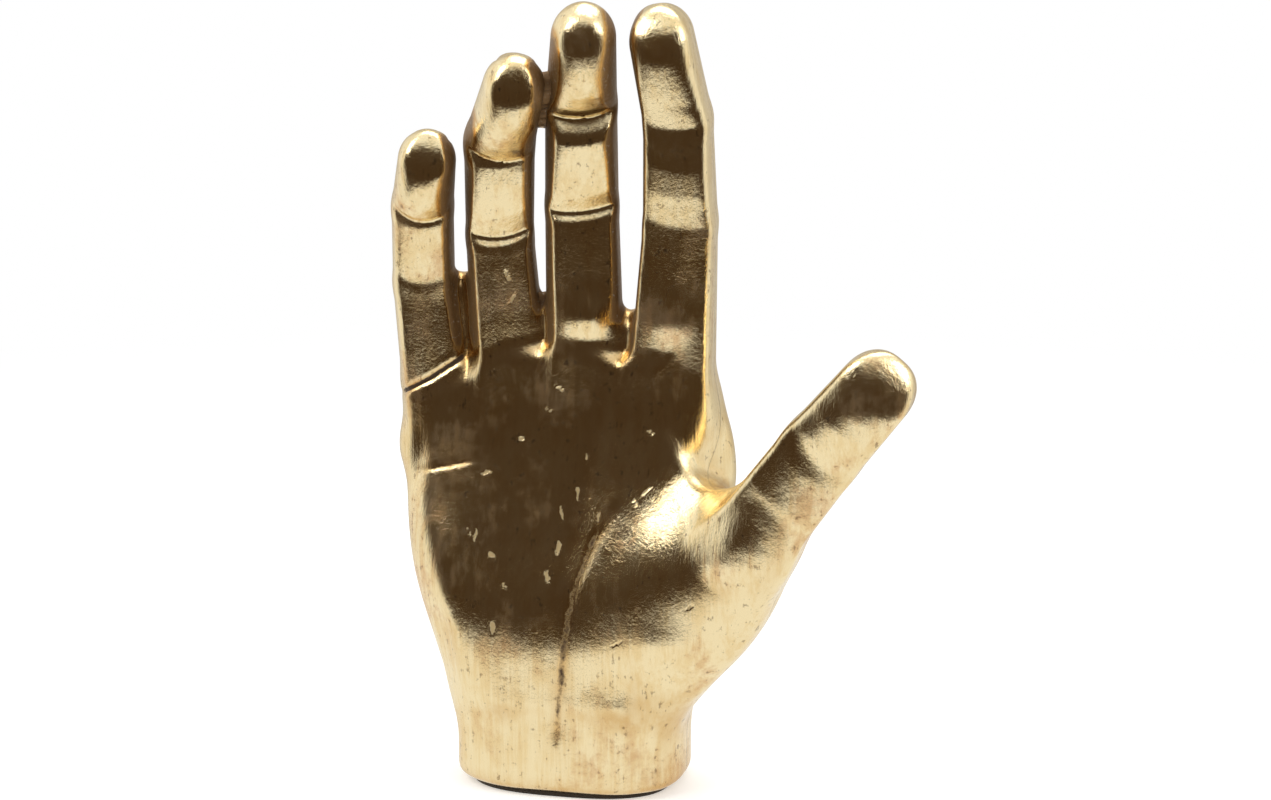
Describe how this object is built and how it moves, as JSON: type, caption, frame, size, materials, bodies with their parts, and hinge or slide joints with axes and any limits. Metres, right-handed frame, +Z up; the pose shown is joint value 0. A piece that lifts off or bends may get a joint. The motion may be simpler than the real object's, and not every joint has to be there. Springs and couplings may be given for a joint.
{
  "type": "hand sculpture",
  "caption": "Upright open right hand standing on its cut wrist, palm forward, fingers raised and thumb held out, hollow cast and finished in burnished gold leaf.",
  "frame": {"origin": "middle of the flat face that the hand stands on, under the wrist's outline", "axes": "+Z up from the base to the fingertips, -Y out of the palm, +X towards the thumb"},
  "size_m": [0.2485, 0.1195, 0.3614],
  "materials": {
    "gold_leaf": "burnished gold leaf over dark bole, worn brown in the recesses",
    "cement": "matte",
    "hardboard": "matte",
    "bung_rubber": "matte",
    "felt": "matte"
  },
  "bodies": {
    "root": {"palm_shell": "gold_leaf", "back_shell": "gold_leaf", "ballast_block": "cement", "base_plate": "hardboard", "vent_bung": "bung_rubber", "felt_sheet": "felt"}
  },
  "joints": []
}
